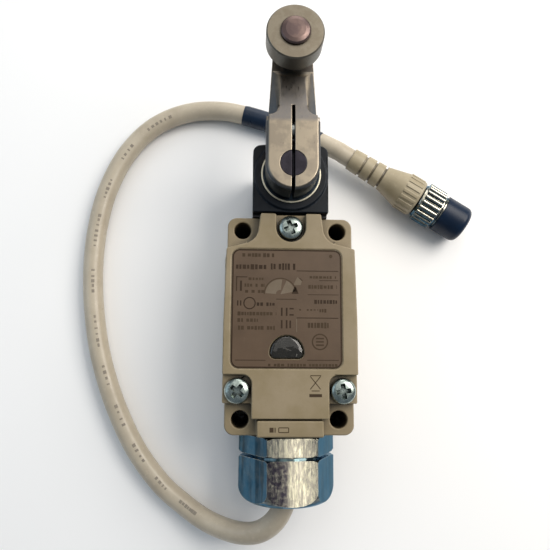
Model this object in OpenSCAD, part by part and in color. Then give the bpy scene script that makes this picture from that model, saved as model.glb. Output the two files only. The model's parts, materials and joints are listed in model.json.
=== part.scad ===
// Roller-lever limit switch with a cable gland, a short lead and a round plug.
// The switch lies on its back: X runs across it, Y points along it towards the
// roller, Z comes out of the front cover. The origin is the centre of the
// four-hole mounting pattern, on the back face.

/* [Housing] */
// Width of the housing across its middle
body_w = 41; // [40:0.2:42]
// Width of the housing across its four ears
ear_w = 39.8; // [39:0.2:40]
// Height of the ears above the mounting face
ear_z = 33; // [32:0.5:34]
// Height of the front cover above the mounting face
front_z = 38; // [37.5:0.5:39]
// Distance between mounting holes across the housing
pitch_x = 30.2; // [30:0.1:30.4]
// Distance between mounting holes along the housing
pitch_y = 58.7; // [58.5:0.1:58.9]
// Diameter of the four mounting holes
mount_hole_d = 5.3; // [5.2:0.1:5.4]
// Thickness of the housing walls
wall = 3.5; // [3:0.1:3.6]

/* [Head and lever] */
// Width of the operating head
head_w = 24.2; // [24:0.2:25.4]
// Distance from the pattern centre to the lever shaft
shaft_y = 47; // [46.8:0.1:47.2]
// Diameter of the lever shaft
shaft_d = 8; // [7.9:0.1:8]
// Distance from the shaft to the roller axis
lever_r = 38; // [36:0.5:42]
// Outer diameter of the roller
roller_d = 17.5; // [17:0.5:18]
// Width of the roller
roller_w = 7; // [6.5:0.1:7]

/* [Gland] */
// Distance across the flats of the gland's hexagons
gland_af = 27; // [26:0.5:28]
// Diameter of the gland's thread in the housing
gland_thread_d = 20; // [19:0.5:20.5]
// Length of the gland's cap nut
gland_nut_len = 14.2; // [14:0.2:15]

/* [Lead and plug] */
// Outer diameter of the lead
cable_d = 7; // [6.6:0.1:7]
// Diameter of the plug's thread
plug_thread_d = 12; // [12:0.1:12]
// Outer diameter of the plug's coupling nut
coupling_nut_d = 14.9; // [14.5:0.1:15]
// Direction of the plug across the mounting face, in degrees
plug_turn = -31.5; // [-31.5:0.5:-31.5]

/* [Hidden] */

$fn = 64;
eps = 0.01;          // makes a cut run past the face it opens
slack = 0.05;        // radial clearance of a running fit

// colours
c_paint = "#a1977c";
c_label = "#6f6353";
c_dark = "#161b24";
c_steel = "#b0aca0";
c_nickel = "#aab4bd";
c_zinc = "#9fb0ab";
c_brass = "#b8923f";
c_bronze = "#93703c";
c_rubber = "#1c1c1e";
c_jacket = "#a39b90";
c_navy = "#1d2c3e";
c_case = "#33312f";

// housing
body_top = 34;
body_bottom = -34.1;
waist_top = 20;                              // the sides are widest between these
waist_bottom = -17;
lip_w = 20;
lip_top = -29.2;
hx = pitch_x / 2;
hy = pitch_y / 2;
hole_r = mount_hole_d / 2;
boss_clear = 5;                              // cover stays this far from a hole's axis
cavity_x = body_w / 2 - wall;
cavity_top = 23.5;
cavity_step = -15.2;
cavity_bottom = -24.5;
cavity_foot_x = 11.3;
axis_z = 19.5;                               // height of the gland's and plunger's axis

// cover and what it carries
gasket_t = 0.8;
cover_z = ear_z + gasket_t;
tab_z = cover_z + 2;                         // top of the two corner tabs
roof_z = front_z - 2.5;
notch_y = -15.8;                             // cover is cut back below this for the tabs
tongue_x = 11.7;
tongue_bottom = -28.8;
tab_bottom = -24.4;
top_screw_y = 29.6;
low_screw = [16, -20.6];
screw_d = 3.5;
screw_head_d = 7.8;
screw_head_h = 2.4;
screw_len = 8.5;
cover_top_w = 39.9;                          // width of the cover at its top shoulders
shoulder_cut_y = 22.4;
panel = [34, 36.6];
panel_x = -1.2;
panel_y = 4.3;
panel_deep = 0.6;
panel_t = 0.35;
window_y = -9.3;
window_r = 5.1;
window_foot = 3.5;                           // half the distance between its lower corners

// head, shaft and lever
head_gasket_t = 0.8;
head_bottom = body_top + head_gasket_t;
head_top = 57.2;
head_back = 3;
head_front = 36;
boss_z = 37;                                 // face of the round boss on the head
chamber_r = 6.5;
ring_t = 0.8;
head_screw_x = 8.8;
head_screw_z = [7.6, 30.4];
hub_back = boss_z + ring_t + 0.4;
hub_front = 47.8;
hub_r = 8.25;
cam_r = 6.2;
cam_flat = 4.8;
cam_z = [15.5, 26.8];
roller_y = shaft_y + lever_r;
roller_back = 48.2;
arm_back = hub_back + 0.4;
arm_front = 47;                              // pad behind the roller
shoulder_y = shaft_y + 15.4;
crease_y = shaft_y + 13.6;
rib_end = shaft_y + 28.8;                    // far end of the raised rib
flank_z = 43.3;                              // where the bevelled flanks end
hub_bevel = 0.8;
bolt_y = shaft_y + 12;
bolt_z = (hub_back + hub_front) / 2;
bolt_d = 5;
bolt_sunk = 5;                               // depth of the pocket for its head
slit_w = 0.95;
pin_d = 5;

// plunger and built-in switch
plunger_travel = 1.2;
plunger_top = shaft_y - cam_r - 0.15;
plunger_bottom = 22.8;
stem_r = 2.5;
case_box = [14, 5, 24];                      // half width, back and front of the case
case_top = 19;
case_bottom = -13;
case_wall = 2;
block_z = 27;                                // front of the terminal block
bridge_y = 5;
terminal_x = 9.2;
terminal_y = [9, -6];

// gland
gland_y = body_bottom - 0.8;                 // face of the first hexagon
hex_len = 5.9;
hex_turn = 4.5;                              // the hexagons stop a little off square
nut_y = gland_y - hex_len - 0.9;
nut_end = nut_y - gland_nut_len;
gland_bore = 6;
seal_r = 8.4;

// lead: hand-set route of its centre line, from inside the gland to the plug
cable_r = cable_d / 2;
cable_route = [
  [0, -36, 19.5], [0, -42, 19.5], [0, -47.5, 19.5], [0, -52.2, 19.5],
  [-1.08, -58.32, 18.93], [-4.14, -63.51, 17.3], [-8.72, -66.98, 14.86],
  [-14.13, -68.2, 11.99], [-20.4, -67.6, 8.8], [-27.2, -65.4, 5.9], [-34.3, -61.1, 4.1],
  [-43, -53.9, 3.5], [-52.5, -41.5, 3.5], [-60.5, -25.5, 3.5], [-66, -9, 3.5],
  [-69, 7.5, 3.5], [-70, 23, 3.5], [-69, 38, 3.5], [-65.8, 52, 3.5],
  [-59.5, 65.5, 3.5], [-50, 76, 3.5], [-37.5, 82, 3.6], [-23.5, 83, 3.8],
  [-8.5, 79.6, 3.95], [4.3, 74.7, 4.8], [13.4, 70.2, 6.6], [19.68, 66.83, 7.5],
  [22.24, 65.27, 7.5], [24.8, 63.7, 7.5]
];
cable_steps = 3;                             // rings for each stretch of the route
sleeve_span = [22.5, 24.95];                 // stretch of the route under the sleeve
sleeve_t = 0.25;

// plug: distances along its axis from the end of the lead
plug_at = [24.8, 63.7, 7.5];
relief_len = 13.4;
flare_end = 21.6;
grip_end = 29.2;
nut_start = 29.6;
nut_stop = 38.4;
thread_stop = 46.4;
cap_start = 38.9;
cap_stop = 49;
grip_r = 7.1;
carrier_r = 4.5;
collar_r = 5;
cap_r = 6.85;

// ---- helpers -----------------------------------------------------------

// a box given by its lowest and highest corners
module block(low, high) {
  translate(low) cube(high - low);
}

// a rounded rectangle about the origin, made of squares and circles
module rounded(size, r) {
  square([size[0] - 2 * r, size[1]], center = true);
  square([size[0], size[1] - 2 * r], center = true);
  for (x = [-1, 1], y = [-1, 1])
    translate([x * (size[0] / 2 - r), y * (size[1] / 2 - r)]) circle(r);
}

// a cylinder along Y between two heights, at x and z
module rod_y(x, z, y0, y1, r) {
  translate([x, max(y0, y1), z]) rotate([90, 0, 0]) cylinder(r = r, h = abs(y1 - y0));
}

// a solid of revolution about the gland's axis: outline points are [radius, y]
module turned_y(outline) {
  translate([0, 0, axis_z]) rotate([-90, 0, 0])
    rotate_extrude() polygon(outline);
}

// a hexagonal prism along Y, with flats to the front and back
module hex_y(af, y0, y1) {
  translate([0, y1, axis_z]) rotate([90, hex_turn, 0])
    cylinder(d = af / cos(30), h = y1 - y0, $fn = 6);
}

// moves a shape made along Z to the plug's axis
module on_plug() {
  translate(plug_at) rotate([0, 0, plug_turn]) rotate([0, 90, 0]) children();
}

// a pan-head screw along Z with a cross recess, its seat at z = 0
module pan_screw(d, head_d, head_h, len) {
  difference() {
    union() {
      translate([0, 0, -len]) cylinder(d = d, h = len + eps);
      rotate_extrude() polygon([[0, 0], [head_d / 2, 0], [head_d / 2, head_h * 0.45],
        [head_d * 0.42, head_h * 0.8], [head_d * 0.28, head_h], [0, head_h]]);
    }
    for (a = [45, 135]) rotate([0, 0, a])
      translate([-head_d * 0.28, -0.45, head_h * 0.45]) cube([head_d * 0.56, 0.9, head_h]);
  }
}

// points on a smooth curve through a route; t counts the route's stretches
function route_at(route, i) =
  i < 0 ? 2 * route[0] - route[1]
  : i > len(route) - 1 ? 2 * route[len(route) - 1] - route[len(route) - 2]
  : route[i];
function smooth(p, q, r, s, t) =
  0.5 * (2 * q + (r - p) * t + (2 * p - 5 * q + 4 * r - s) * t * t
    + (3 * q - p - 3 * r + s) * t * t * t);
function along(route, t) =
  let (i = min(floor(t), len(route) - 2))
  smooth(route_at(route, i - 1), route_at(route, i), route_at(route, i + 1),
    route_at(route, i + 2), t - i);

// a ring of points square to the path, with its first point kept level
function unit(v) = v / norm(v);
function ring(path, i, r, sides) =
  let (
    n = len(path) - 1,
    way = unit(path[min(i + 1, n)] - path[max(i - 1, 0)]),
    side = unit(cross(way, [0, 0, 1])),
    up = cross(side, way)
  )
  [for (k = [0 : sides - 1]) path[i] + r * (cos(360 * k / sides) * up + sin(360 * k / sides) * side)];

// quads between ring a and ring a + 1 of a stack, as triangles
function band(a, sides, base, flip) = [for (k = [0 : sides - 1])
  let (
    p = base + a * sides + k,
    q = base + a * sides + (k + 1) % sides
  )
  each flip ? [[p, p + sides, q + sides], [p, q + sides, q]]
    : [[p, q + sides, p + sides], [p, q, q + sides]]];

// a solid tube swept along a path
module swept_rod(path, r, sides) {
  n = len(path);
  rings = [for (i = [0 : n - 1]) each ring(path, i, r, sides)];
  polyhedron(
    concat(rings, [path[0], path[n - 1]]),
    concat(
      [for (a = [0 : n - 2]) each band(a, sides, 0, false)],
      [for (k = [0 : sides - 1]) [n * sides, (k + 1) % sides, k]],
      [for (k = [0 : sides - 1])
        [n * sides + 1, (n - 1) * sides + k, (n - 1) * sides + (k + 1) % sides]]
    )
  );
}

// a hollow sleeve swept along a path
module swept_sleeve(path, r_in, r_out, sides) {
  n = len(path);
  m = n * sides;
  outer = [for (i = [0 : n - 1]) each ring(path, i, r_out, sides)];
  inner = [for (i = [0 : n - 1]) each ring(path, i, r_in, sides)];
  last = (n - 1) * sides;
  polyhedron(
    concat(outer, inner),
    concat(
      [for (a = [0 : n - 2]) each band(a, sides, 0, false)],
      [for (a = [0 : n - 2]) each band(a, sides, m, true)],
      [for (k = [0 : sides - 1]) let (j = (k + 1) % sides)
        each [[k, m + k, m + j], [k, m + j, j]]],
      [for (k = [0 : sides - 1]) let (j = (k + 1) % sides)
        each [[last + k, m + last + j, m + last + k], [last + k, last + j, m + last + j]]]
    )
  );
}

// a coil spring along Y between two heights
module spring_y(y0, y1, coil_r, wire_r, turns) {
  steps = 12;
  path = [for (i = [0 : turns * steps])
    [coil_r * cos(360 * i / steps),
     y0 + wire_r + (y1 - y0 - 2 * wire_r) * i / (turns * steps),
     axis_z + coil_r * sin(360 * i / steps)]];
  swept_rod(path, wire_r, 6);
}

// ---- housing and cover -------------------------------------------------

module housing_outline() {
  translate([0, (body_top - 0.4 + body_bottom) / 2])
    rounded([ear_w, body_top - 0.4 - body_bottom], 3);
  polygon([[-ear_w / 2, 24], [ear_w / 2, 24], [body_w / 2, waist_top],
    [body_w / 2, waist_bottom], [ear_w / 2, -24], [-ear_w / 2, -24],
    [-body_w / 2, waist_bottom], [-body_w / 2, waist_top]]);
}

module cavity_outline() {
  difference() {
    translate([-cavity_x, cavity_step]) square([2 * cavity_x, cavity_top - cavity_step]);
    for (x = [-1, 1]) translate([x * (cavity_x + 0.8), cavity_top + 0.8]) circle(3.2);
  }
  translate([-cavity_foot_x, cavity_bottom])
    square([2 * cavity_foot_x, cavity_step - cavity_bottom + 1]);
}

module mount_holes(z0, z1) {
  for (x = [-hx, hx], y = [-hy, hy])
    translate([x, y, z0]) cylinder(r = hole_r, h = z1 - z0);
}

module housing() {
  color(c_paint) difference() {
    union() {
      linear_extrude(ear_z) housing_outline();
      block([-9.2, 30, 0], [9.2, body_top, ear_z]);
      block([-lip_w / 2, body_bottom, ear_z - 1], [lip_w / 2, lip_top, front_z - 0.2]);
    }
    translate([0, 0, wall]) linear_extrude(ear_z) cavity_outline();
    mount_holes(-1, ear_z + 1);
    rod_y(0, axis_z, body_bottom - 1, cavity_bottom + 1, gland_thread_d / 2);
    rod_y(0, axis_z, cavity_top - 1, body_top + 1, 4);
    translate([0, top_screw_y, ear_z - 7.5]) cylinder(d = screw_d, h = 8);
    for (x = [-1, 1])
      translate([x * low_screw[0], low_screw[1], ear_z - 7.5]) cylinder(d = screw_d, h = 8);
    for (x = [-1, 1], z = head_screw_z)
      rod_y(x * head_screw_x, z, 26.5, body_top + 1, 1.75);
  }
}

// corner of the cover that is cut back around a top mounting hole, right side
module corner_cut() {
  translate([hx, hy]) circle(boss_clear);
  polygon([[9.3, body_top + 1], [hx - boss_clear, hy], [hx, hy], [13.69, 24.55],
    [body_w / 2 + 1, shoulder_cut_y], [body_w / 2 + 1, body_top + 1]]);
}

module cover_outline(grow) {
  difference() {
    union() {
      for (side = [-1, 1]) scale([side, 1]) polygon([[0, notch_y], [body_w / 2 + grow, notch_y],
        [body_w / 2 + grow, 0], [cover_top_w / 2 + grow, shoulder_cut_y],
        [cover_top_w / 2 + grow, body_top + grow], [0, body_top + grow]]);
      translate([-tongue_x, tongue_bottom]) square([2 * tongue_x, notch_y - tongue_bottom + 1]);
      for (x = [-1, 1]) difference() {
        translate([x * (tongue_x + 1.4), notch_y - 1.4 + eps]) square([2.8, 2.8], center = true);
        translate([x * (tongue_x + 2.8), notch_y - 2.8]) circle(2.8);
      }
    }
    corner_cut();
    mirror([1, 0]) corner_cut();
  }
}

module tab_outline() {
  for (x = [-1, 1])
    translate([x * (tongue_x + body_w / 2) / 2, (notch_y + tab_bottom) / 2])
      square([body_w / 2 - tongue_x + 0.5, notch_y - tab_bottom + 1], center = true);
}

module window_outline(grow) {
  intersection() {
    translate([panel_x, window_y]) circle(window_r + grow);
    translate([panel_x - 10, window_y - 0.01]) square([20, 10]);
  }
  for (x = [-1, 1]) translate([panel_x + x * window_foot, window_y])
    circle(window_r - window_foot + grow);
  translate([panel_x - window_foot, window_y - window_r + window_foot - grow])
    square([2 * window_foot, 2 + grow]);
}

module screw_places() {
  translate([0, top_screw_y, 0]) children();
  for (x = [-1, 1]) translate([x * low_screw[0], low_screw[1], 0]) children();
}

module front_cover() {
  color(c_paint) difference() {
    union() {
      translate([0, 0, cover_z]) linear_extrude(front_z - cover_z) cover_outline(0);
      translate([0, 0, cover_z]) linear_extrude(tab_z - cover_z) intersection() {
        tab_outline();
        translate([-body_w / 2, tab_bottom]) square([body_w, 20]);
      }
    }
    translate([0, 0, cover_z - 1]) linear_extrude(roof_z - cover_z + 1)
      translate([0, 2.5]) rounded([31, 37], 2);
    translate([0, top_screw_y, tab_z]) cylinder(r = 4.6, h = 10);
    translate([-4.6, top_screw_y, tab_z]) cube([9.2, 10, 10]);
    translate([panel_x, panel_y, front_z - panel_deep]) linear_extrude(2) rounded(panel, 2.6);
    translate([0, 0, roof_z - 1]) linear_extrude(10) window_outline(0.1);
    screw_places() translate([0, 0, cover_z - 1]) cylinder(d = screw_d + 0.5, h = 10);
  }
}

module cover_gasket() {
  color(c_rubber) translate([0, 0, ear_z]) linear_extrude(gasket_t) difference() {
    union() {
      cover_outline(-0.6);
      intersection() {
        tab_outline();
        translate([-body_w / 2 + 0.6, tab_bottom + 0.4]) square([body_w - 1.2, 20]);
      }
    }
    cavity_outline();
    translate([-40, body_top - 0.5]) square([80, 5]);
    screw_places() circle(d = screw_d + 0.5);
  }
}

module cover_screws() {
  color(c_zinc) screw_places() translate([0, 0, tab_z])
    pan_screw(screw_d - 0.02, screw_head_d, screw_head_h, screw_len);
}

module nameplate() {
  color(c_label) translate([0, 0, front_z - panel_deep]) linear_extrude(panel_t)
    difference() {
      translate([panel_x, panel_y]) rounded(panel - [0.3, 0.3], 2.45);
      window_outline(0.4);
    }
}

module window_lens() {
  color("#58635f") {
    translate([0, 0, roof_z]) linear_extrude(front_z - 0.1 - roof_z) window_outline(0);
    translate([0, 0, roof_z - 1.1]) linear_extrude(1.1) window_outline(1.2);
  }
}

module lamp_holder() {
  color(c_case) translate([0, 0, 31.6]) linear_extrude(roof_z - 1.1 - 31.6) difference() {
    window_outline(1.2);
    window_outline(-0.3);
  }
}

module lamp_board() {
  color("darkgreen") translate([panel_x, window_y + 1, 30.8]) linear_extrude(0.8) rounded([15, 10], 1);
}

module indicator_lamp() {
  color("orange") translate([panel_x, window_y + 0.9, 31.6]) {
    cylinder(r = 1.7, h = 0.6);
    cylinder(r = 1.4, h = 1.4);
    translate([0, 0, 1.4]) intersection() {
      sphere(1.4);
      translate([-2, -2, 0]) cube([4, 4, 4]);
    }
  }
}

// ---- operating head ----------------------------------------------------

module head_outline() {
  translate([0, (head_bottom + head_top) / 2])
    rounded([head_w, head_top - head_bottom], 2.6);
  translate([-head_w / 2, head_bottom]) square([head_w, 6]);
}

module head_casting() {
  color(c_dark) difference() {
    union() {
      translate([0, 0, head_back]) linear_extrude(head_front - head_back) head_outline();
      translate([0, shaft_y, head_front - 1]) cylinder(r = 11.6, h = boss_z - head_front + 1);
    }
    translate([0, shaft_y, 9]) cylinder(r = chamber_r, h = 40);
    translate([0, shaft_y, head_back + 2.5]) cylinder(r = 3 + slack, h = 10);
    rod_y(0, axis_z, head_bottom - 1, shaft_y, 5.3);
    for (x = [-1, 1], z = head_screw_z) {
      rod_y(x * head_screw_x, z, head_bottom - 1, head_top + 1, 1.9);
      rod_y(x * head_screw_x, z, head_top - 3.2, head_top + 1, 3);
    }
  }
}

module head_gasket() {
  color(c_rubber) difference() {
    block([-11.9, body_top, head_back + 0.4], [11.9, head_bottom, ear_z - 0.4]);
    rod_y(0, axis_z, body_top - 1, head_bottom + 1, 5.1);
    for (x = [-1, 1], z = head_screw_z)
      rod_y(x * head_screw_x, z, body_top - 1, head_bottom + 1, 1.9);
  }
}

module head_screws() {
  color(c_zinc) for (x = [-1, 1], z = head_screw_z)
    translate([x * head_screw_x, head_top - 3.2, z]) rotate([-90, 0, 0])
      pan_screw(screw_d - 0.04, 5.8, 2.3, 26);
}

module shaft_bush() {
  color(c_bronze) translate([0, shaft_y, 27]) difference() {
    cylinder(r = chamber_r, h = boss_z - 27);
    translate([0, 0, -1]) cylinder(r = shaft_d / 2 + slack, h = 20);
    translate([0, 0, 6]) cylinder(r = 5.5, h = 1.6);
  }
}

module shaft_oring() {
  color(c_rubber) translate([0, shaft_y, 33.8])
    rotate_extrude() translate([4.8, 0]) circle(0.68, $fn = 24);
}

module angle_ring() {
  color(c_steel) translate([0, shaft_y, boss_z]) difference() {
    cylinder(r = 9.5, h = ring_t);
    translate([0, 0, -1]) cylinder(r = 4.6, h = 3);
  }
}

module plunger_guide() {
  color(c_bronze) difference() {
    union() {
      rod_y(0, axis_z, 26, body_top, 4);
      rod_y(0, axis_z, body_top, head_bottom + 0.4, 5);
    }
    rod_y(0, axis_z, 20, 40, stem_r + slack);
  }
}

// ---- shaft, lever and roller -------------------------------------------

module shaft() {
  color(c_steel) difference() {
    translate([0, shaft_y, 0]) {
      translate([0, 0, head_back + 2.8]) cylinder(r = 3, h = 4);
      translate([0, 0, 9.4]) cylinder(d = shaft_d, h = hub_front - 9.5);
    }
    rod_y(0, cam_z[0] + 5, shaft_y - 10, shaft_y + 10, 1);
    translate([-slit_w / 2, shaft_y - 5, hub_front - 2.2]) cube([slit_w, 10, 3]);
  }
}

module shaft_cam() {
  color(c_steel) difference() {
    translate([0, shaft_y, cam_z[0]]) cylinder(r = cam_r, h = cam_z[1] - cam_z[0]);
    translate([0, shaft_y, 0]) cylinder(d = shaft_d, h = 40);
    block([-10, shaft_y - 10, 0], [10, shaft_y - cam_flat, 40]);
    rod_y(0, cam_z[0] + 5, shaft_y, shaft_y + 10, 1);
  }
}

module cam_pin() {
  color(c_steel) rod_y(0, cam_z[0] + 5, shaft_y - 3.8, shaft_y + 5.9, 1);
}

// keeps what lies under the lever's sloping front
module under_slope() {
  intersection() {
    children();
    translate([-10, 0, 0]) rotate([90, 0, 90]) linear_extrude(20)
      polygon([[crease_y - 2, 0], [crease_y - 2, hub_front], [crease_y, hub_front],
        [rib_end, 45.4], [rib_end, 0]]);
  }
}

// a flat bar on the lever's centre line, wider at one end
module tapered(y0, half0, y1, half1) {
  polygon([[-half0, y0], [half0, y0], [half1, y1], [-half1, y1]]);
}

module lever_arm() {
  fillet_r = 3.1;
  color(c_steel) difference() {
    union() {
      // clamp hub, with its front edge bevelled
      translate([0, shaft_y, hub_back]) {
        cylinder(r = hub_r, h = hub_front - hub_back - hub_bevel);
        translate([0, 0, hub_front - hub_back - hub_bevel])
          cylinder(r1 = hub_r, r2 = hub_r - hub_bevel, h = hub_bevel);
      }
      translate([0, crease_y, 0]) rotate([90, 0, 0]) linear_extrude(crease_y - shaft_y)
        polygon([[-hub_r, hub_back], [hub_r, hub_back], [hub_r, hub_front - hub_bevel],
          [hub_r - hub_bevel, hub_front], [hub_bevel - hub_r, hub_front],
          [-hub_r, hub_front - hub_bevel]]);
      // shoulder, which narrows to the rib in two hollow curves
      under_slope() translate([0, 0, hub_back]) linear_extrude(12) {
        tapered(crease_y - 1, hub_r - hub_bevel, shoulder_y, hub_r - hub_bevel);
        difference() {
          tapered(shoulder_y - eps, hub_r - hub_bevel, shoulder_y + fillet_r,
            hub_r - hub_bevel);
          for (x = [-1, 1])
            translate([x * (hub_r - hub_bevel), shoulder_y + fillet_r]) circle(fillet_r);
        }
      }
      translate([0, 0, hub_back]) linear_extrude(hub_front - hub_bevel - hub_back - 1)
        tapered(crease_y - 1, hub_r, shoulder_y, hub_r);
      // rib with bevelled flanks and a bevelled end
      hull() {
        translate([0, 0, arm_back]) linear_extrude(flank_z - arm_back)
          tapered(crease_y, 7.8, rib_end + 2.7, 6.3);
        under_slope() translate([0, 0, arm_back]) linear_extrude(12)
          tapered(crease_y, 4.5, rib_end, 3.6);
      }
      // flat end that carries the roller
      translate([0, 0, arm_back]) linear_extrude(flank_z - arm_back) {
        tapered(shoulder_y, 7.6, roller_y, 6.3);
        translate([0, roller_y]) circle(6.3);
      }
      translate([0, roller_y, arm_back]) cylinder(r = 4.6, h = arm_front - arm_back);
    }
    translate([0, shaft_y, 0]) cylinder(d = shaft_d, h = 60);
    block([-slit_w / 2, shaft_y - 12, 0], [slit_w / 2, shaft_y + 18.8, 60]);
    translate([-20, bolt_y, bolt_z]) rotate([0, 90, 0]) cylinder(d = bolt_d, h = 40);
    translate([hub_r - bolt_sunk, bolt_y, bolt_z]) rotate([0, 90, 0]) cylinder(r = 3.5, h = 10);
    translate([0, roller_y, 0]) cylinder(d = pin_d, h = 60);
  }
}

module clamp_bolt() {
  color(c_zinc) translate([0, bolt_y, bolt_z]) rotate([0, 90, 0]) difference() {
    union() {
      translate([0, 0, -7.6]) cylinder(d = bolt_d - 0.02, h = 11);
      translate([0, 0, hub_r - bolt_sunk]) cylinder(r = 3.4, h = bolt_sunk - 0.4);
    }
    translate([0, 0, 5]) cylinder(d = 4.4, h = 10, $fn = 6);
  }
}

module roller_pin() {
  color("#857770") translate([0, roller_y, 0]) rotate_extrude()
    polygon([[0, arm_back - 0.8], [3, arm_back - 0.8], [3.4, arm_back], [pin_d / 2, arm_back],
      [pin_d / 2, roller_back + roller_w + 0.2], [4.5, roller_back + roller_w + 0.2],
      [4.5, roller_back + roller_w + 0.7], [4.1, roller_back + roller_w + 1.1],
      [3, roller_back + roller_w + 1.45], [1.6, roller_back + roller_w + 1.6],
      [0, roller_back + roller_w + 1.65]]);
}

module roller() {
  color("#a39a86") translate([0, roller_y, roller_back]) difference() {
    rotate_extrude() polygon([[3.6, 0], [roller_d / 2 - 0.4, 0], [roller_d / 2, 0.4],
      [roller_d / 2, roller_w - 0.4], [roller_d / 2 - 0.4, roller_w], [3.6, roller_w]]);
  }
}

module roller_bush() {
  color(c_bronze) translate([0, roller_y, roller_back]) difference() {
    cylinder(r = 3.6, h = roller_w);
    translate([0, 0, -1]) cylinder(r = pin_d / 2 + slack, h = roller_w + 2);
  }
}

// ---- plunger and built-in switch ---------------------------------------

module plunger() {
  color(c_steel) {
    rod_y(0, axis_z, plunger_bottom, plunger_top - 0.5, stem_r);
    rod_y(0, axis_z, plunger_top - 1.3, plunger_top, 4.7);
  }
}

module return_spring() {
  color(c_steel)
    spring_y(head_bottom + 0.4 + plunger_travel + 0.2, plunger_top - 1.35, 3.75, 0.4, 2);
}

module switch_case() {
  color(c_case) difference() {
    block([-case_box[0], case_bottom, case_box[1]], [case_box[0], case_top, case_box[2]]);
    block([-case_box[0] + case_wall, case_bottom + case_wall, case_box[1] + case_wall],
      [case_box[0] - case_wall, case_top - case_wall, case_box[2] + 1]);
    rod_y(0, axis_z, 10, case_top + 1, 2.3);
    for (y = [case_top - 5, case_bottom + 5])
      translate([case_box[0] - 1, y, 0]) cylinder(r = 0.5, h = 4);
  }
}

module switch_case_cover() {
  color("#3c3a38") difference() {
    block([-case_box[0], case_bottom, case_box[2]], [case_box[0], case_top, block_z]);
    for (x = [-1, 1], y = terminal_y) {
      translate([x * terminal_x, y, case_box[2] + 0.4]) cylinder(d = 3.1, h = 10);
      translate([x * 11.4, y, 20]) cube([1.2, 5.2, 20], center = true);
    }
    for (x = [-1, 1]) translate([x * 11.3, case_bottom + 2, 20]) cylinder(d = 2.1, h = 10);
  }
}

// one fixed contact: a tip beside the bridge, a leg and a pad for a screw
module fixed_contact(side, tip_y, y) {
  tip = tip_y < bridge_y ? [tip_y - 0.8, tip_y] : [tip_y, tip_y + 0.8];
  scale([side, 1, 1]) {
    block([5, tip[0], 16.5], [11.9, tip[1], 22.5]);
    block([10.9, min(tip[0], y - 2.5), 20], [11.9, max(tip[1], y + 2.5), 22.5]);
    block([10.9, y - 2.5, 20], [11.9, y + 2.5, block_z + 0.5]);
    difference() {
      block([5.6, y - 3, block_z], [13.6, y + 3, block_z + 1]);
      translate([terminal_x, y, block_z - 1]) cylinder(d = 3.2, h = 5);
    }
  }
}

module nc_contacts() {
  color(c_brass) for (side = [-1, 1])
    fixed_contact(side, bridge_y + 1.25, terminal_y[0]);
}

module no_contacts() {
  color(c_brass) for (side = [-1, 1])
    fixed_contact(side, bridge_y - plunger_travel - 0.3, terminal_y[1]);
}

module terminal_screws() {
  color(c_zinc) for (x = [-1, 1], y = terminal_y)
    translate([x * terminal_x, y, block_z + 1]) pan_screw(3.05, 5.4, 1.8, 3.4);
}

module switch_screws() {
  color(c_zinc) for (x = [-1, 1])
    translate([x * 11.3, case_bottom + 2, block_z]) pan_screw(2, 4, 1.4, 2.8);
}

module switch_button() {
  color("#8c2f22") {
    rod_y(0, axis_z, 14.5, plunger_bottom - 0.1, 2.2);
    rod_y(0, axis_z, -2, 15, 1.5);
  }
}

module contact_bridge() {
  color(c_brass) difference() {
    block([-8, bridge_y, 17], [8, bridge_y + 1, 22]);
    rod_y(0, axis_z, 0, 20, 1.5);
  }
}

module contact_spring() {
  color(c_steel) spring_y(bridge_y + 1.1, 14.4, 2.1, 0.3, 4);
}

// one core of the lead, from the end of its jacket to a terminal pad
module lead_wire(side, low, tint) {
  start = [side * 1.4, -36, axis_z + (low ? -1.4 : 1.4)];
  shared = [start, start + [side * 0.3, 6, 0]];
  to_low = [[side * 4, -22, axis_z - 1], [side * 5.5, -17.5, 25.5], [side * 9.5, -12, 29],
    [side * 12.6, -8.5, 29.2], [side * 13, -6, 28.75]];
  to_high = [[side * 4.5, -22.5, axis_z + 3], [side * 8.2, -17.2, 26.5], [side * 13, -12, 29],
    [side * 15.8, -6, 29.6], [side * 15.8, 3, 29.6], [side * 14.4, 7.6, 29.2],
    [side * 12.9, 9.6, 28.75]];
  route = concat(shared, low ? to_low : to_high);
  color(tint) swept_rod([for (i = [0 : 2 * (len(route) - 1)]) along(route, i / 2)], 0.7, 6);
}

module lead_wires() {
  lead_wire(-1, false, "#7a4a24");
  lead_wire(1, false, "#3a5fae");
  lead_wire(-1, true, "#2e2e2e");
  lead_wire(1, true, "#e3ded2");
}

// ---- gland -------------------------------------------------------------

module gland_body() {
  color(c_nickel) difference() {
    union() {
      rod_y(0, axis_z, gland_y - 1, cavity_bottom - 0.5, gland_thread_d / 2 - 0.02);
      intersection() {
        hex_y(gland_af, gland_y - hex_len, gland_y);
        turned_y([[0, gland_y - hex_len], [14.6, gland_y - hex_len],
          [15.5, gland_y - hex_len + 0.6], [15.5, gland_y - 0.6], [14.6, gland_y],
          [0, gland_y]]);
      }
      rod_y(0, axis_z, nut_y - 10, gland_y - 2, 11.5);
    }
    rod_y(0, axis_z, nut_y - 20, 0, gland_bore);
    rod_y(0, axis_z, nut_y - 11, nut_y - 2, seal_r + 0.05);
  }
}

module gland_washer() {
  color(c_rubber) turned_y([[gland_thread_d / 2, body_bottom], [12.6, body_bottom],
    [12.6, gland_y], [gland_thread_d / 2, gland_y]]);
}

module gland_seal() {
  color(c_rubber) turned_y([[cable_r, nut_y - 2.1], [seal_r, nut_y - 2.1],
    [seal_r, nut_y - 10.4], [cable_r, nut_y - 10.4]]);
}

module gland_slip_ring() {
  color(c_brass) turned_y([[cable_r + 0.9, nut_y - 10.4], [seal_r, nut_y - 10.4],
    [seal_r, nut_y - 11.4], [cable_r + 0.9, nut_y - 11.4]]);
}

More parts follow.
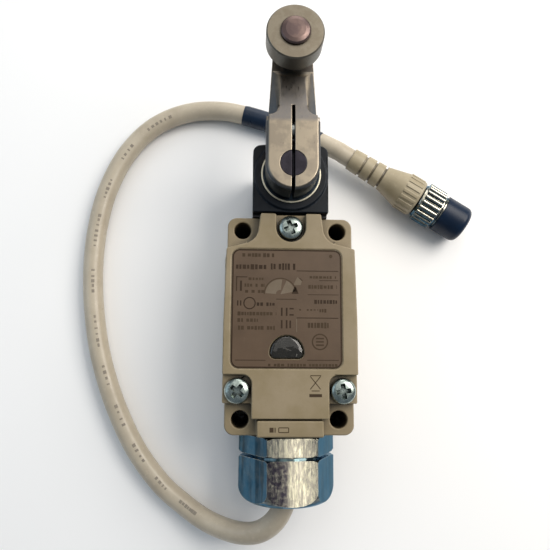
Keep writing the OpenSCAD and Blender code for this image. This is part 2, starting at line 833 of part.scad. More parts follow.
module gland_nut() {
  round_r = 5;
  arc_y = nut_end + round_r;
  color(c_nickel) difference() {
    intersection() {
      hex_y(gland_af, nut_end, nut_y);
      turned_y(concat([[0, nut_y], [14.9, nut_y], [15.6, nut_y - 0.5]],
        [for (a = [0 : 10 : 80]) [15.6 - round_r + round_r * cos(a), arc_y - round_r * sin(a)]],
        [[15.6 - round_r, nut_end], [0, nut_end]]));
    }
    rod_y(0, axis_z, nut_y - 11.4, nut_y + 1, 11.55);
    turned_y([[0, nut_y], [5.1, nut_y], [5.1, nut_end + 1.2], [6, nut_end - eps],
      [0, nut_end - eps]]);
  }
}

// ---- lead and plug -----------------------------------------------------

module cable() {
  last = (len(cable_route) - 1) * cable_steps;
  color(c_jacket)
    swept_rod([for (i = [0 : last]) along(cable_route, i / cable_steps)], cable_r, 12);
}

module cable_sleeve() {
  pieces = 8;
  span = sleeve_span[1] - sleeve_span[0];
  color(c_navy) swept_sleeve(
    [for (i = [0 : pieces]) along(cable_route, sleeve_span[0] + span * i / pieces)],
    cable_r + 0.08, cable_r + sleeve_t, 12);
}

module connector_grip() {
  groove = [5.2, 9.4, 13.4];
  groove_w = 0.8;
  ribs = 20;
  color(c_jacket) on_plug() difference() {
    union() {
      rotate_extrude() polygon([[0, 0], [4.1, 0], [4.6, relief_len], [4.7, relief_len + 1],
        [6.5, flare_end], [6.75, flare_end + 0.8], [grip_r - 0.25, grip_end - 0.4],
        [grip_r - 0.6, grip_end], [0, grip_end]]);
      for (i = [0 : ribs - 1]) rotate([0, 0, 360 * i / ribs])
        translate([grip_r - 1, -0.55, flare_end + 1]) cube([1, 1.1, grip_end - flare_end - 2]);
    }
    for (s = groove) translate([0, 0, s - groove_w / 2]) difference() {
      cylinder(r = 6, h = groove_w);
      translate([0, 0, -1]) cylinder(r = 3.7, h = 3);
    }
    translate([0, 0, flare_end - 1]) cylinder(r = carrier_r, h = 20);
  }
}

module contact_carrier() {
  color(c_case) on_plug() difference() {
    union() {
      translate([0, 0, flare_end - 1]) cylinder(r = carrier_r, h = 23.4);
      translate([0, 0, grip_end]) cylinder(r = collar_r, h = 5);
    }
    translate([0, 0, 36]) cylinder(r = 3.7, h = 20);
    for (a = [0 : 90 : 270]) rotate([0, 0, a + 45])
      translate([2.2, 0, 30]) cylinder(r = 0.5, h = 10);
  }
}

module contact_pins() {
  color(c_brass) on_plug() for (a = [0 : 90 : 270]) rotate([0, 0, a + 45])
    translate([2.2, 0, 30]) cylinder(r = 0.5, h = 12.5);
}

module coupling_nut() {
  ribs = 20;
  rib_r = 0.85;
  root_r = 6.4;
  end_r = 6.1;
  slope = 0.8;
  rib_gap = 0.95;                            // plain length at each end of a rib
  color(c_nickel) on_plug() difference() {
    union() {
      rotate_extrude() polygon([[0, nut_start], [end_r, nut_start],
        [root_r, nut_start + slope], [root_r, nut_stop - slope], [end_r, nut_stop],
        [0, nut_stop]]);
      for (i = [0 : ribs - 1]) rotate([0, 0, 360 * i / ribs])
        translate([coupling_nut_d / 2 - rib_r, 0, nut_start + rib_gap])
          cylinder(r = rib_r, h = nut_stop - nut_start - 2 * rib_gap);
      cylinder(d = plug_thread_d, h = thread_stop);
    }
    translate([0, 0, -1]) cylinder(r = 8, h = nut_start + 1);
    translate([0, 0, nut_start - 1]) cylinder(r = collar_r + slack, h = 30);
  }
}

module dust_cap() {
  round_r = 2.2;
  color(c_navy) on_plug() difference() {
    rotate_extrude() polygon(concat([[0, cap_start], [cap_r, cap_start]],
      [for (a = [0 : 15 : 90])
        [cap_r - round_r + round_r * cos(a), cap_stop - round_r + round_r * sin(a)]],
      [[0, cap_stop]]));
    translate([0, 0, cap_start - 1]) cylinder(r = plug_thread_d / 2 + 0.06, h = 8.8);
  }
}

housing();
front_cover();
cover_gasket();
cover_screws();
nameplate();
window_lens();
lamp_holder();
lamp_board();
indicator_lamp();
head_casting();
head_gasket();
head_screws();
shaft_bush();
shaft_oring();
angle_ring();
plunger_guide();
switch_case();
switch_case_cover();
nc_contacts();
no_contacts();
terminal_screws();
switch_screws();
lead_wires();
gland_body();
gland_washer();
gland_seal();
gland_slip_ring();
gland_nut();
cable();
cable_sleeve();
connector_grip();
contact_carrier();
contact_pins();
lever_arm();
clamp_bolt();
shaft();
shaft_cam();
cam_pin();
roller_pin();
roller();
roller_bush();
plunger();
return_spring();
switch_button();
contact_bridge();
contact_spring();
coupling_nut();
dust_cap();
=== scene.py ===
"""Roller-lever limit switch with its lead and round plug, lying on a pale floor.

Every object is in metres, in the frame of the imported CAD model: X runs across the
switch, Y points along it towards the roller, Z comes out of its front cover. Sizes
and places in this script are in millimetres where no comment says otherwise.
"""

import json
import math
import random

import bmesh
import bpy
from mathutils import Matrix, Vector


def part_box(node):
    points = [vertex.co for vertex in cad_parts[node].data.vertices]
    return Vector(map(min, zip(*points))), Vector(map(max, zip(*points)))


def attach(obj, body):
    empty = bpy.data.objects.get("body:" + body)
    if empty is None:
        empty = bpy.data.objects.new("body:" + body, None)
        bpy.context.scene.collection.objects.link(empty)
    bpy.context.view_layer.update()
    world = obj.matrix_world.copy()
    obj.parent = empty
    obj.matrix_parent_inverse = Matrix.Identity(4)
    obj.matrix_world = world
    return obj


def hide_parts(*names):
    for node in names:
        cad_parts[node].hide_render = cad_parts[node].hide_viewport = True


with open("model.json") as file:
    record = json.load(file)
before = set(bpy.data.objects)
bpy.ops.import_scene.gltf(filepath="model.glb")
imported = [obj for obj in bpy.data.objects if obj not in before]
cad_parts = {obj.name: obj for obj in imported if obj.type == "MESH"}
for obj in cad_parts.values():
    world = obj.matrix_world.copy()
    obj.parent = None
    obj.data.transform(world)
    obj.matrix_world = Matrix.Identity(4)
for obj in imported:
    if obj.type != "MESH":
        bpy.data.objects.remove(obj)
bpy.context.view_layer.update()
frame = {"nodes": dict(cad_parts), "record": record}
NODES = frame["nodes"]
BODIES = frame["record"]["behaviour"]["bodies"]
BODY = {node: body for body, members in BODIES.items() for node in members}
SLOT = {node: cad.material_slots[0].material.name for node, cad in NODES.items()}
MM = 0.001
MATERIALS = {}                                   # by the record's slot, filled further down
NO_TURN = Matrix.Identity(4)


# ---- mesh tools -----------------------------------------------------------

def rings(bm, loops, closed=False):
    """Joins loops of equally many points into a skin, with flat ends unless it is closed."""
    made = [[bm.verts.new(p) for p in loop] for loop in loops]
    pairs = list(zip(made, made[1:])) + ([(made[-1], made[0])] if closed else [])
    for a, b in pairs:
        for k in range(len(a)):
            j = (k + 1) % len(a)
            bm.faces.new((a[k], a[j], b[j], b[k]))
    if not closed:
        bm.faces.new(made[0])
        bm.faces.new(made[-1])


def mesh_of(name, bm, place=NO_TURN):
    """A mesh in metres from one built in millimetres, moved to its place."""
    bmesh.ops.recalc_face_normals(bm, faces=bm.faces)
    mesh = bpy.data.meshes.new(name)
    bm.to_mesh(mesh)
    bm.free()
    mesh.transform(Matrix.Scale(MM, 4) @ place)
    return mesh


def shown(name, mesh, body, slot, replaces=(), sharp=35, material=None):
    """Shows a mesh given in metres as a piece on a body, smooth but for its sharp edges.

    Sharp is the least angle of a sharp edge, in degrees.
    """
    for face in mesh.polygons:
        face.use_smooth = True
    mesh.set_sharp_from_angle(angle=math.radians(sharp))
    if material or MATERIALS:
        mesh.materials.append(material or MATERIALS[slot])
    piece = bpy.data.objects.new(name, mesh)
    bpy.context.scene.collection.objects.link(piece)
    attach(piece, body)
    if replaces:
        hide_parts(*replaces)
    return piece


# ---- camera ---------------------------------------------------------------

CAMERA_AT = Vector((-12.1, -10.7, 205.5)) * MM
CAMERA_TILT = math.radians(8.52)                 # about X
CAMERA_SWING = math.radians(-2.46)               # about Y
CAMERA_ROLL = math.radians(0.40)                 # about Z
LENS = 36.1
SENSOR = 36
NEAREST = 0.01                                   # nothing nearer than this is drawn, in m


def add_camera():
    """The camera looks down on the switch from a little below and left of its middle."""
    lens = bpy.data.cameras.new("camera")
    lens.lens, lens.sensor_width, lens.clip_start = LENS, SENSOR, NEAREST
    camera = bpy.data.objects.new("camera", lens)
    bpy.context.scene.collection.objects.link(camera)
    turn = (Matrix.Rotation(CAMERA_SWING, 3, "Y") @ Matrix.Rotation(CAMERA_TILT, 3, "X")
            @ Matrix.Rotation(CAMERA_ROLL, 3, "Z"))
    camera.matrix_world = Matrix.Translation(CAMERA_AT) @ turn.to_4x4()
    bpy.context.scene.camera = camera


add_camera()


# ---- the lead -------------------------------------------------------------

LEAD_D = 7.0
LEAD_SIDES = 40
ROUTE = [Vector(p) for p in (                    # from inside the gland to the plug's grip
    (0, -36, 19.5), (0, -42, 19.5), (0, -47.5, 19.5), (0, -52.2, 19.5),
    (-1.08, -58.32, 18.93), (-4.14, -63.51, 17.3), (-8.72, -66.98, 14.86),
    (-14.13, -68.2, 11.99), (-20.4, -67.6, 8.8), (-27.2, -65.4, 5.9), (-34.3, -61.1, 4.1),
    (-43, -53.9, 3.5), (-52.5, -41.5, 3.5), (-60.5, -25.5, 3.5), (-66, -9, 3.5),
    (-69, 7.5, 3.5), (-70, 23, 3.5), (-69, 38, 3.5), (-65.8, 52, 3.5),
    (-59.5, 65.5, 3.5), (-50, 76, 3.5), (-37.5, 82, 3.6), (-23.5, 83, 3.8),
    (-8.5, 79.6, 3.95), (4.3, 74.7, 4.8), (13.4, 70.2, 6.6), (19.68, 66.83, 7.5),
    (22.24, 65.27, 7.5), (24.8, 63.7, 7.5),
)]
SLEEVE_SPAN = (22.5, 24.95)                      # stretch of the route under the sleeve
SLEEVE_T = 0.25


def route_at(i):
    """A point of the route, or one beyond its ends in line with the last two."""
    if i < 0:
        return 2 * ROUTE[0] - ROUTE[1]
    if i > len(ROUTE) - 1:
        return 2 * ROUTE[-1] - ROUTE[-2]
    return ROUTE[i]


def on_route(t):
    """A point on the smooth curve through the route; t counts the route's stretches."""
    i = min(int(t), len(ROUTE) - 2)
    p, q, r, s = (route_at(i + k) for k in (-1, 0, 1, 2))
    u = t - i
    return 0.5 * (2 * q + (r - p) * u + (2 * p - 5 * q + 4 * r - s) * u * u
                  + (3 * q - p - 3 * r + s) * u ** 3)


def lead_axes(t):
    """Place and way along the lead at t, with the directions to its side and its top."""
    nudge = 0.01
    way = (on_route(t + nudge) - on_route(t - nudge)).normalized()
    side = way.cross(Vector((0, 0, 1))).normalized()
    return on_route(t), way, side, side.cross(way)


def lead_ring(t, radius):
    """A circle of points round the lead at t."""
    here, _, side, top = lead_axes(t)
    return [here + radius * (math.cos(a) * top + math.sin(a) * side)
            for a in (math.tau * k / LEAD_SIDES for k in range(LEAD_SIDES))]


STEPS_A_STRETCH = 8
LEAD_STEPS = [i / STEPS_A_STRETCH for i in range(STEPS_A_STRETCH * (len(ROUTE) - 1) + 1)]


def add_lead():
    """The lead, whose material is made and added after it."""
    bm = bmesh.new()
    rings(bm, [lead_ring(t, LEAD_D / 2) for t in LEAD_STEPS])
    return shown("lead", mesh_of("lead", bm), "switch", "cable_jacket", ["cable"])


lead = add_lead()


# ---- materials ------------------------------------------------------------

def linear(colour):
    """A hex colour as Blender's linear colour."""
    parts = [int(colour[i:i + 2], 16) / 255 for i in (1, 3, 5)]
    return [(c / 12.92 if c <= 0.04045 else ((c + 0.055) / 1.055) ** 2.4) for c in parts] + [1]


class Finish:
    """A procedural material, built a layer at a time round one Principled shader."""

    def __init__(self, name, **sockets):
        self.material = bpy.data.materials.new(name)
        self.material.use_nodes = True
        self.tree = self.material.node_tree
        self.tree.nodes.clear()
        self.bsdf = self.node("BsdfPrincipled", **sockets)
        self.node("OutputMaterial", Surface=self.bsdf.outputs["BSDF"])
        self.place = self.node("TexCoord")
        self.normal = None

    def node(self, kind, settings=None, **sockets):
        """A node with its settings, and with values or links in its named sockets."""
        made = self.tree.nodes.new("ShaderNode" + kind)
        for key, value in (settings or {}).items():
            setattr(made, key, value)
        self.feed([made.inputs[key.replace("_", " ")] for key in sockets], sockets.values())
        return made

    def feed(self, inputs, values):
        """Sets each input to its value, or links it where the value is another's output."""
        for socket, value in zip(inputs, values):
            if isinstance(value, bpy.types.NodeSocket):
                self.tree.links.new(value, socket)
            else:
                socket.default_value = value

    def spots(self, size_mm, detail=3.0, rough=0.55, stretch=(1, 1, 1)):
        """Soft noise, 0 to 1, with features about size_mm across."""
        scaled = self.node("Mapping", Vector=self.place.outputs["Object"],
                           Scale=[s / (size_mm * MM) for s in stretch])
        noise = self.node("TexNoise", Vector=scaled.outputs["Vector"], Scale=1.0,
                          Detail=detail, Roughness=rough)
        return noise.outputs["Fac"]

    def coordinate(self, output, axis):
        """One number of a texture coordinate, such as the X of the place or the normal."""
        apart = self.node("SeparateXYZ", Vector=self.place.outputs[output])
        return apart.outputs[axis]

    def facing(self, low, high):
        """0 to 1 as the Z of the normal, up or down, goes from low to high."""
        made = self.node("Math", {"operation": "ABSOLUTE"})
        self.feed(made.inputs, (self.coordinate("Normal", "Z"),))
        return self.ranged(made.outputs[0], low, high)

    def sides(self):
        """0 on faces that look out of the front or the back, 1 on those that look sideways."""
        return self.facing(0.92, 0.62)

    def hollows(self, reach_mm, low=0.15, high=0.75):
        """1 deep in holes and corners, 0 in the open."""
        made = self.node("AmbientOcclusion", {"samples": 6}, Distance=reach_mm * MM)
        return self.ranged(made.outputs["AO"], low, high, 1.0, 0.0)

    def ranged(self, value, low, high, to_low=0.0, to_high=1.0):
        """A value spread from low to high, and held at the ends."""
        made = self.node("MapRange", Value=value, From_Min=low, From_Max=high,
                         To_Min=to_low, To_Max=to_high)
        return made.outputs["Result"]

    def product(self, a, b):
        """Two values multiplied, held between 0 and 1."""
        made = self.node("Math", {"operation": "MULTIPLY", "use_clamp": True})
        self.feed(made.inputs, (a, b))
        return made.outputs[0]

    def mix(self, share, a, b):
        """Colour a where share is 0, b where it is 1."""
        made = self.node("Mix", {"data_type": "RGBA"})
        self.feed((made.inputs[0], made.inputs[6], made.inputs[7]), (share, a, b))
        return made.outputs[2]

    def edges(self, radius_mm):
        """1 along the sharp outer and inner edges, 0 on open faces."""
        slight, full = 0.004, 0.06               # 1 less the cosine of how far a normal turns
        soft = self.node("Bevel", {"samples": 4}, Radius=radius_mm * MM)
        face = self.node("NewGeometry")
        along = self.node("VectorMath", {"operation": "DOT_PRODUCT"})
        self.feed(along.inputs, (soft.outputs["Normal"], face.outputs["Normal"]))
        return self.ranged(along.outputs["Value"], 1 - slight, 1 - full)

    def bump(self, height, depth_mm, strength):
        """A relief, on top of any that was added before it."""
        made = self.node("Bump", Height=height, Distance=depth_mm * MM, Strength=strength)
        if self.normal:
            self.feed((made.inputs["Normal"],), (self.normal,))
        self.normal = made.outputs["Normal"]
        self.set("Normal", self.normal)

    def set(self, socket, value):
        """Gives the shader's named socket its value."""
        self.feed((self.bsdf.inputs[socket],), (value,))


def lighter(colour, times, plus=0.0):
    """A hex colour made brighter, as Blender's linear colour."""
    return [min(1, c * times + plus) for c in linear(colour)[:3]] + [1]


def casting(name, base, dark, worn, rough, hollow_shade, gloss=0.35):
    """Paint on a die casting: a fine orange peel, dulled patches, rubbed edges, painted shade in
    holes.
    """
    f = Finish(name, Roughness=rough, Specular_IOR_Level=gloss)
    colour = f.mix(f.ranged(f.spots(9, 4), 0.3, 0.7), linear(dark), linear(base))
    speck = f.ranged(f.spots(0.5, 1), 0.60, 0.72, 0, 0.3)
    colour = f.mix(speck, colour, linear(dark))
    rubbed = f.product(f.edges(0.4), f.ranged(f.spots(0.9, 4), 0.45, 0.62, 0.1, 0.75))
    colour = f.mix(rubbed, colour, linear(worn))
    # Painted shade: deep in holes and corners the colour turns to the dark hole colour.
    f.set("Base Color", f.mix(f.hollows(6), colour, linear(hollow_shade)))
    f.set("Roughness", f.ranged(f.spots(3, 4), 0.3, 0.7, rough - 0.08, rough + 0.1))
    f.bump(f.spots(0.55, 2), 0.03, 0.5)
    f.bump(f.spots(4.5, 2), 0.05, 0.35)
    return f.material


EVEN = (1, 1, 1)                                 # a grain that runs no way
UP_GRAIN = (1, 0.12, 1)                          # drawn out along the switch
DEEP_GRAIN = (1, 1, 0.1)                         # drawn out from back to front
SIDE_REFLECTION_BAND = "#10161c"                            # painted dark reflection bands on the sides of nickel
METAL_HOLLOW_SHADE = "#06080b"                            # painted shade in the corners and holes of metal pieces
PLASTIC_HOLLOW_SHADE = "#1c1712"                                # painted shade in the corners and gaps of plastic pieces
NO_RIM = (1, 1, 1, 1)
BLUE_RIM = (0.6, 0.82, 1.0, 1)


def metal(name, base, tint, rough, grain=EVEN, grain_mm=0.5, depth=0.006, stain=0.5,
          stain_mm=(5, 5, 5), side=None, right_side_shade=None, crevice=None, dim=None, rim=NO_RIM):
    """Bare or plated metal: grain, stains, bright edges, painted shade and reflection on its
    sides.

    Stain is how strong the patches of tint are, and stain_mm how long they are each way.
    With right_side_shade, sides that look to the right get a painted shade colour of their own
    and painted bands of dark reflection as well. Crevice is how far painted shade reaches
    out of the corners and holes, in mm. With dim, a stretch of the front is painted darker,
    as shade: its axis, where it starts and is full, in mm, its colour and its thinnest
    cover. Rim tints what the metal reflects at a low angle.
    """
    f = Finish(name, Metallic=1.0, Roughness=rough, Specular_Tint=rim)
    patches = f.spots(1, 4, 0.6, [1 / w for w in stain_mm])
    colour = f.mix(f.ranged(patches, 0.44, 0.56, 0, stain), linear(base), linear(tint))
    # Painted shade: front faces along one stretch of an axis turn towards a darker colour.
    if dim:
        axis, start, full, tone, least = dim
        share = f.ranged(f.coordinate("Object", axis), start * MM, full * MM)
        clouds = f.ranged(f.spots(1.4, 4), 0.35, 0.6, least, 1.0)
        cover = f.product(f.facing(0.95, 0.985), clouds)
        colour = f.mix(f.product(share, cover), colour, linear(tone))
    # Painted shade and dark reflection: sideways faces take the side colour, right-facing ones
    # their own with painted dark bands.
    if side:
        streaks = f.ranged(f.spots(3, 3), 0.3, 0.7, 0.92, 1.0)
        tone = linear(side)
        if right_side_shade:
            tone = f.mix(f.ranged(f.coordinate("Normal", "X"), -0.2, 0.2), tone,
                         linear(right_side_shade))
            band = f.ranged(f.spots(2.6, 2, 0.5, UP_GRAIN), 0.42, 0.60, 0, 0.7)
            tone = f.mix(band, tone, linear(SIDE_REFLECTION_BAND))
        colour = f.mix(f.product(f.sides(), streaks), colour, tone)
    bright = f.product(f.edges(0.3), f.ranged(f.spots(1.2, 3), 0.35, 0.6, 0.1, 0.5))
    colour = f.mix(bright, colour, lighter(base, 1.5))
    # Painted shade deep in corners and holes.
    if crevice:
        colour = f.mix(f.hollows(crevice, 0.3, 0.8), colour, linear(METAL_HOLLOW_SHADE))
    f.set("Base Color", colour)
    fine = f.spots(grain_mm, 3, 0.6, grain)
    f.set("Roughness", f.ranged(fine, 0.25, 0.75, max(0.04, rough - 0.09), rough + 0.12))
    f.bump(fine, depth, 0.6)
    return f.material


RING_LOW, RING_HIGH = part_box("angle_ring")
SHAFT_AXIS = (RING_LOW + RING_HIGH) / 2
RING_R = (RING_HIGH.x - RING_LOW.x) / 2 / MM
RING_HIGHLIGHT = (0.55, 0.35)                          # the painted highlight on the rim starts and is full this far in


def ring_finish():
    """Dark burnished steel with a painted highlight on its outer rim. Radii are from the shaft."""
    f = Finish("ring_steel", Metallic=1.0, Roughness=0.32)
    place = f.node("VectorMath", {"operation": "SUBTRACT"})
    f.feed(place.inputs, (f.place.outputs["Object"], SHAFT_AXIS))
    flat = f.node("VectorMath", {"operation": "MULTIPLY"})
    f.feed(flat.inputs, (place.outputs["Vector"], (1, 1, 0)))
    radius = f.node("VectorMath", {"operation": "LENGTH"})
    f.feed(radius.inputs, (flat.outputs["Vector"],))
    start, full = ((RING_R - inwards) * MM for inwards in RING_HIGHLIGHT)
    # Painted highlight: the colour turns bright towards the outer rim.
    rim = f.ranged(radius.outputs["Value"], start, full)
    dull = f.mix(f.ranged(f.spots(2.5, 4), 0.35, 0.65), linear("#2a333b"), linear("#1a2128"))
    f.set("Base Color", f.mix(rim, dull, linear("#c9c3ae")))
    f.set("Roughness", f.ranged(f.spots(0.5, 3), 0.25, 0.75, 0.24, 0.42))
    f.bump(f.spots(0.5, 3), 0.006, 0.6)
    return f.material


def plastic(name, base, dark, rough, peel_mm=0.6, depth=0.02, scuffs=0.3, crevice=None,
            gloss=0.5):
    """Moulded plastic, rubber, vinyl or ink: soft tone shifts, a faint moulding texture, and
    painted shade in corners where crevice is given.
    """
    f = Finish(name, Roughness=rough, Specular_IOR_Level=gloss)
    colour = f.mix(f.ranged(f.spots(8, 4), 0.3, 0.7), linear(base), linear(dark))
    scuff = f.product(f.ranged(f.spots(1.5, 5, 0.7), 0.56, 0.7), scuffs)
    colour = f.mix(scuff, colour, lighter(base, 1.25, 0.01))
    # Painted shade: deep in corners and gaps the colour turns to a dark one.
    if crevice:
        colour = f.mix(f.hollows(crevice, 0.2, 0.85), colour, linear(PLASTIC_HOLLOW_SHADE))
    f.set("Base Color", colour)
    f.set("Roughness", f.ranged(f.spots(2.5, 4), 0.3, 0.7, rough - 0.06, rough + 0.1))
    f.bump(f.spots(peel_mm, 2), depth, 0.5)
    return f.material


def lens_finish():
    """Smoky clear plastic, a little wavy."""
    f = Finish("lens", Roughness=0.03, Transmission_Weight=0.85, IOR=1.49)
    f.set("Base Color", f.mix(f.ranged(f.spots(3, 3), 0.3, 0.7), linear("#67645d"),
                              linear("#514e48")))
    f.bump(f.spots(2.2, 1), 0.12, 0.5)
    return f.material


def wire_finish():
    """Insulated cores, brown on the left and blue on the right."""
    f = Finish("wire", Roughness=0.4)
    right = f.ranged(f.coordinate("Object", "X"), -0.1 * MM, 0.1 * MM)
    f.set("Base Color", f.mix(right, linear("#7a4a24"), linear("#3a5fae")))
    f.bump(f.spots(0.6, 2), 0.01, 0.4)
    return f.material


# Settings that two metals share, then one material for each of the record's slots
# Their side colours, and right_side_shade, are painted shade and dark reflection on faces that
# look sideways.
SATIN = dict(base="#998e7d", tint="#7f766a", rough=0.34, grain=UP_GRAIN, grain_mm=0.35,
             side="#3f464e", stain=0.6)
PLATED = dict(base="#c4bfac", tint="#6f6a70", rough=0.10, grain=UP_GRAIN, grain_mm=0.5,
              depth=0.005, stain=0.42, stain_mm=(1.2, 3.0, 1.2), side="#34566c",
              right_side_shade="#2a4252", rim=BLUE_RIM)
MATERIALS.update({
    # The last colour of each casting is the painted shade deep in its holes and corners.
    "painted_casting": casting("painted_casting", "#8f8169", "#817357", "#b5a88e", 0.42,
                               hollow_shade="#14110d"),
    "dark_casting": casting("dark_casting", "#08111a", "#050b12", "#3a4550", 0.42,
                            hollow_shade="#020305", gloss=0.22),
    "nameplate": plastic("nameplate", "#584635", "#4f3e2e", 0.42, peel_mm=0.4, depth=0.006,
                         scuffs=0.15, gloss=0.35),
    "satin_steel": metal("satin_steel", **SATIN),
    # Crevice, in the metals below, is painted shade in their corners and holes.
    "ground_steel": metal("ground_steel", "#37343a", "#28262a", 0.30, DEEP_GRAIN, 0.3,
                          crevice=1.5),
    "pin_steel": metal("pin_steel", "#6f5e59", "#54484a", 0.38, crevice=1.3),
    # Its side colour is painted shade on the roller's sides.
    "sintered_steel": metal("sintered_steel", "#80786a", "#6f6658", 0.42, grain_mm=0.3,
                            depth=0.02, side="#5e5c56", crevice=0.9),
    "zinc_screw": metal("zinc_screw", "#a9b4ae", "#6d7975", 0.26, grain_mm=0.6, crevice=1.3,
                        stain_mm=(1.2, 1.2, 1.2)),
    "nickel": metal("nickel", **PLATED),
    "bronze": metal("bronze", "#93703c", "#7a5a2e", 0.34),
    "spring_steel": metal("spring_steel", "#9a9a98", "#7d7d7c", 0.3),
    "contact_brass": metal("contact_brass", "#c29a4a", "#a57f38", 0.26),
    "rubber": plastic("rubber", "#1d1d1f", "#141416", 0.6),
    "phenolic": plastic("phenolic", "#35322f", "#292725", 0.45),
    "circuit_board": plastic("circuit_board", "#1f5a34", "#174827", 0.35),
    "button": plastic("button", "#8c2f22", "#76241a", 0.35),
    "cable_jacket": plastic("cable_jacket", "#c0b5a1", "#b0a490", 0.33, 0.9, 0.02, crevice=1.6),
    "navy_sleeve": plastic("navy_sleeve", "#15273d", "#0f1e31", 0.30, 0.8, 0.03, gloss=0.3),
    "lens": lens_finish(),
    "lamp": plastic("lamp", "#8d8372", "#7a7061", 0.25),
    "wire": wire_finish(),
})

# Materials of pieces that differ from their slot, and of print
RING_STEEL = ring_finish()
GRIP = plastic("grip_plastic", "#a89c82", "#968a70", 0.38, 0.9, 0.02, crevice=2.4)
INK = plastic("ink", "#2f2318", "#392c20", 0.6, 0.3, 0.004, gloss=0.15)
PALE_INK = plastic("pale_ink", "#74685a", "#685c4d", 0.6, 0.3, 0.004, gloss=0.15)
FAINT_INK = plastic("faint_ink", "#3d3023", "#453829", 0.6, 0.3, 0.004, gloss=0.15)
LEAD_INK = plastic("lead_ink", "#7f766a", "#8d8375", 0.5, 0.3, 0.004)
SHADED_NUT_LEFT = ("X", 0.3, -0.9, "#4a4550", 0.45)    # painted shade on the front of the gland nut's left half
SHADED_LEVER_NECK = ("Y", 60.0, 61.2, "#787471", 0.8)    # painted shade on the lever's front beyond its hub
NUT_NICKEL = metal("nut_nickel", dim=SHADED_NUT_LEFT, **PLATED)
LEVER_STEEL = metal("lever_steel", dim=SHADED_LEVER_NECK, **SATIN)
BOLT_STEEL = metal("bolt_steel", "#c3c6c0", "#8b908c", 0.30)
CAP_PLASTIC = plastic("cap_plastic", "#0c2038", "#08182b", 0.34, 0.8, 0.03, gloss=0.25)
OWN = {"angle_ring": RING_STEEL, "connector_grip": GRIP, "clamp_bolt": BOLT_STEEL,
       "dust_cap": CAP_PLASTIC, "gland_nut": NUT_NICKEL, "lever_arm": LEVER_STEEL}

lead.data.materials.append(MATERIALS["cable_jacket"])
for name, cad in NODES.items():
    for holder in cad.material_slots:
        holder.material = OWN.get(name, MATERIALS[SLOT[name]])


# ---- refined copies of CAD pieces -----------------------------------------

WELD = 2e-6                                      # points nearer than this are one, in m
FLAT = math.radians(0.6)                         # faces that meet at less are one face
EDGE = math.radians(32)                          # edges sharper than this are rounded


def refined(node, width_mm):
    """A copy of a CAD node with whole flat faces and rounded edges, shown in its place."""
    mesh = NODES[node].data.copy()
    if "custom_normal" in mesh.attributes:
        mesh.attributes.remove(mesh.attributes["custom_normal"])
    bm = bmesh.new()
    bm.from_mesh(mesh)
    bmesh.ops.remove_doubles(bm, verts=bm.verts, dist=WELD)
    bmesh.ops.dissolve_limit(bm, angle_limit=FLAT, verts=bm.verts, edges=bm.edges)
    for face in bm.faces:
        face.smooth = True
    bm.to_mesh(mesh)
    bm.free()
    piece = bpy.data.objects.new(node + "_shape", mesh)
    bpy.context.scene.collection.objects.link(piece)
    rounding = piece.modifiers.new("rounding", "BEVEL")
    rounding.width, rounding.segments = width_mm * MM, 2
    rounding.limit_method, rounding.angle_limit = "ANGLE", EDGE
    rounding.use_clamp_overlap = False
    shading = piece.modifiers.new("shading", "WEIGHTED_NORMAL")
    shading.keep_sharp = True
    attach(piece, BODY[node])
    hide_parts(node)
    return piece


ROUNDED = {                                      # how wide each piece's edges are rounded
    "housing": 0.5, "front_cover": 0.45, "head_casting": 0.5, "nameplate": 0.06,
    "lever_arm": 0.22, "clamp_bolt": 0.2, "shaft": 0.15, "angle_ring": 0.15,
    "gland_body": 0.2, "connector_grip": 0.15, "coupling_nut": 0.12, "dust_cap": 0.15,
}
for node, width in ROUNDED.items():
    refined(node, width)


# ---- pieces made here -----------------------------------------------------

def turned(profile, sides):
    """A solid of revolution about Z, from (radius, height) pairs between two flat ends."""
    bm = bmesh.new()
    rings(bm, [[(r * math.cos(a), r * math.sin(a), z)
                for a in (math.tau * k / sides for k in range(sides))]
               for r, z in profile])
    return bm


CORNERS = ((-1, -1), (1, -1), (1, 1), (-1, 1))


def tapered_bar(length, width, depth, top):
    """A bar along X, wide above and narrow below, for cutting two arms of a cross recess."""
    bm = bmesh.new()
    rings(bm, [[(x * length * share, y * width * share, z) for x, y in CORNERS]
               for share, z in ((0.3, top - depth), (0.5, top + 0.4))])
    return bm


def cut_away(mesh, cutters):
    """Takes the cutters out of a mesh, one after another."""
    body = bpy.data.objects.new("cut_body", mesh)
    bpy.context.scene.collection.objects.link(body)
    tools = []
    for cutter in cutters:
        tool = bpy.data.objects.new("cutter", cutter)
        bpy.context.scene.collection.objects.link(tool)
        boolean = body.modifiers.new("cut", "BOOLEAN")
        boolean.operation, boolean.solver, boolean.object = "DIFFERENCE", "EXACT", tool
        tools.append(tool)
    found = body.evaluated_get(bpy.context.evaluated_depsgraph_get())
    result = bpy.data.meshes.new_from_object(found)
    for tool in tools + [body]:
        bpy.data.objects.remove(tool)
    return result


def cross_screw(head_d, head_h, shank_d, length, place):
    """A pan-head screw with a cross recess. Its seat is at height 0 of its place."""
    r, shank_r = head_d / 2, shank_d / 2
    profile = [(shank_r - 0.3, -length), (shank_r, 0.4 - length), (shank_r, 0),
               (r - 0.15, 0), (r, 0.15), (r, head_h * 0.42), (r - 0.12, head_h * 0.58),
               (r * 0.88, head_h * 0.76), (r * 0.72, head_h * 0.89), (r * 0.5, head_h * 0.97),
               (r * 0.2, head_h)]
    arms = [mesh_of("arm", tapered_bar(head_d * 0.66, head_d * 0.2, head_h * 0.7, head_h),
                    Matrix.Rotation(math.radians(turn), 4, "Z")) for turn in (0, 90)]
    mesh = cut_away(mesh_of("screw", turned(profile, 48)), arms)
    metres = Matrix.Scale(MM, 4)
    mesh.transform(metres @ place @ metres.inverted())
    return mesh


